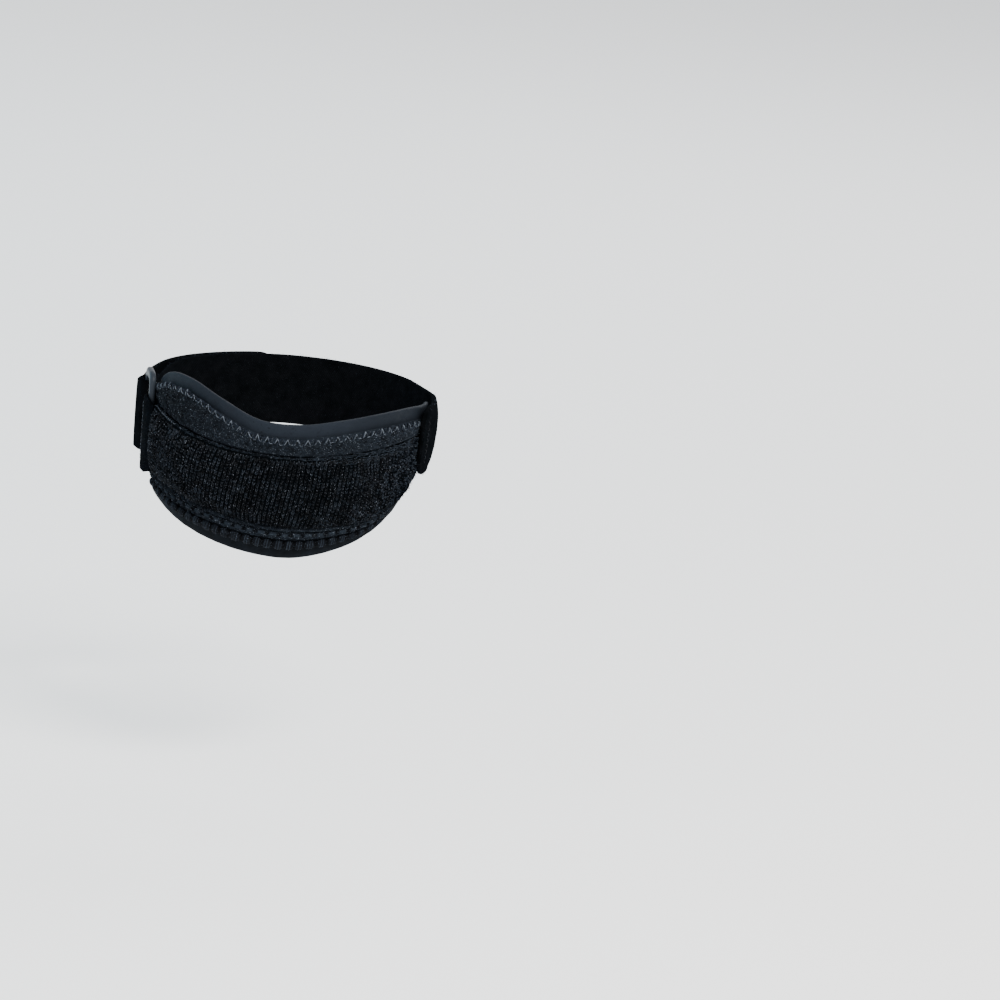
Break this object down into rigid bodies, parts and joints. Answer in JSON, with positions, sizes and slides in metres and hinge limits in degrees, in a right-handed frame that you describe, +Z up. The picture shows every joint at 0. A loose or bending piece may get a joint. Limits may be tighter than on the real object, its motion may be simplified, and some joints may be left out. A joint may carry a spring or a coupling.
{
  "type": "patella strap",
  "caption": "Contoured knee strap, fastened as worn: a knit pad below the kneecap and an elastic strap threaded through a moulded ring.",
  "frame": {"origin": "centre of the leg opening, level with the middle of the elastic strap", "axes": "+Z up along the leg, -Y out of the front where the pad lies, +X to the pad end that the strap is sewn over"},
  "size_m": [0.1361, 0.127, 0.0742],
  "materials": {
    "liner_fabric": "satin bonded jersey over foam",
    "seam_knit": "coarse knit",
    "cushion_knit": "rib knit",
    "ring_plastic": "moulded, satin",
    "strap_elastic": "brushed elastic webbing",
    "hook_tape": "woven hook tape"
  },
  "bodies": {
    "root": {"liner": "liner_fabric", "upper_seam_band": "seam_knit", "lower_seam_band": "seam_knit", "edge_piping": "seam_knit", "cushion": "cushion_knit", "ring": "ring_plastic", "ring_tab": "cushion_knit", "strap": "strap_elastic", "hook_patch": "hook_tape"}
  },
  "joints": []
}
